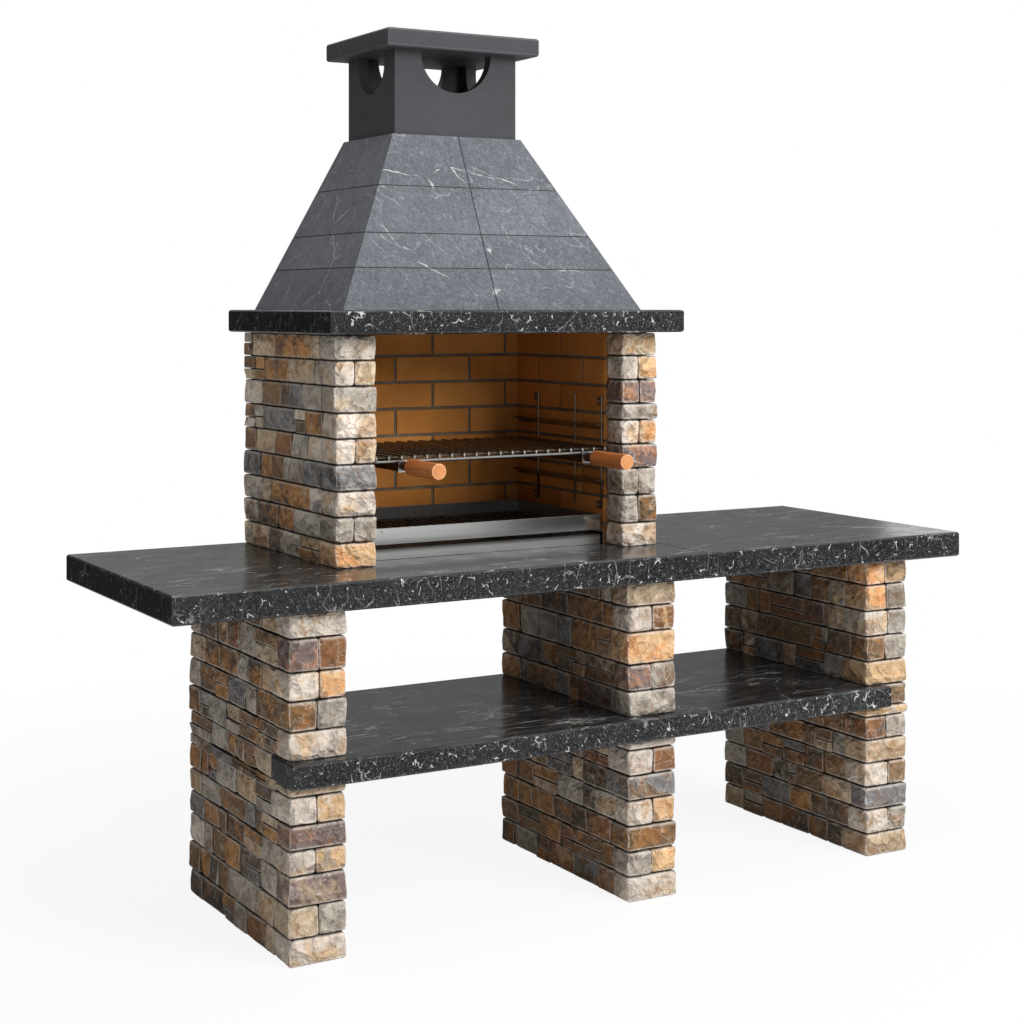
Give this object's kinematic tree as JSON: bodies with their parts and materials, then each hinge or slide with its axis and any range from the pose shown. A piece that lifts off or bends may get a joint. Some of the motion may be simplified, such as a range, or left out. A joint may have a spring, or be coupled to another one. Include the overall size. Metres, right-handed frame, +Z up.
{
  "type": "masonry barbecue",
  "caption": "Free-standing stone-clad masonry barbecue with worktop, shelf, brick-lined firebox, sliding grill, charcoal tray, ash drawer, tiled hood and chimney.",
  "frame": {"origin": "on the ground, under the centre of the worktop", "axes": "+X along the front to the right, +Y from the front to the back, +Z up"},
  "size_m": [2.25, 0.77, 2.178],
  "materials": {
    "concrete": "rough cast concrete",
    "stone": "tumbled split-face stone in mixed cream, ochre, brown and grey",
    "marble": "polished black marble with white veins",
    "firebrick": "matte fired clay",
    "mortar": "matte dark mortar",
    "slate": "honed slate with fine light veins",
    "painted_concrete": "smooth charcoal masonry paint",
    "rod_steel": "bright drawn stainless rod",
    "sheet_steel": "brushed stainless sheet",
    "dark_steel": "heat-darkened steel",
    "grate_iron": "dark cast iron",
    "beech": "oiled turned beech"
  },
  "bodies": {
    "root": {"left_leg_core": "concrete", "left_leg_stones": "stone", "middle_leg_core": "concrete", "middle_leg_stones": "stone", "right_leg_core": "concrete", "right_leg_stones": "stone", "left_shelf_slab": "marble", "right_shelf_slab": "marble", "left_worktop_slab": "marble", "right_worktop_slab": "marble", "worktop_dowels": "rod_steel", "left_wall_core": "concrete", "right_wall_core": "concrete", "left_wall_stones": "stone", "right_wall_stones": "stone", "rear_wall_panel": "concrete", "left_firebricks": "firebrick", "right_firebricks": "firebrick", "rear_firebricks": "firebrick", "left_mortar": "mortar", "right_mortar": "mortar", "rear_mortar": "mortar", "mantel_slab": "marble", "hood_shell": "concrete", "hood_front_tiles": "slate", "hood_right_tiles": "slate", "hood_rear_tiles": "slate", "hood_left_tiles": "slate", "chimney_box": "painted_concrete", "chimney_cap": "painted_concrete", "left_grill_rack": "rod_steel", "right_grill_rack": "rod_steel", "rack_screws": "rod_steel", "left_tray_rail": "sheet_steel", "right_tray_rail": "sheet_steel"},
    "grill": {"grill_frame": "rod_steel", "grill_rods": "rod_steel", "grill_cross_rods": "rod_steel", "left_runner": "dark_steel", "right_runner": "dark_steel", "handle_shanks": "rod_steel", "handle_ferrules": "dark_steel", "left_grip": "beech", "right_grip": "beech"},
    "charcoal_tray": {"charcoal_tray": "sheet_steel", "charcoal_grate": "grate_iron", "tray_rivets": "rod_steel"},
    "ash_drawer": {"ash_drawer": "sheet_steel"}
  },
  "joints": [
    {"name": "grill_slide", "type": "slide", "parent": "root", "child": "grill", "axis": [0, -1, 0], "range_m": [0, 0.3]},
    {"name": "tray_slide", "type": "slide", "parent": "root", "child": "charcoal_tray", "axis": [0, -1, 0], "range_m": [0, 0.3]},
    {"name": "drawer_slide", "type": "slide", "parent": "root", "child": "ash_drawer", "axis": [0, -1, 0], "range_m": [0, 0.3]}
  ]
}
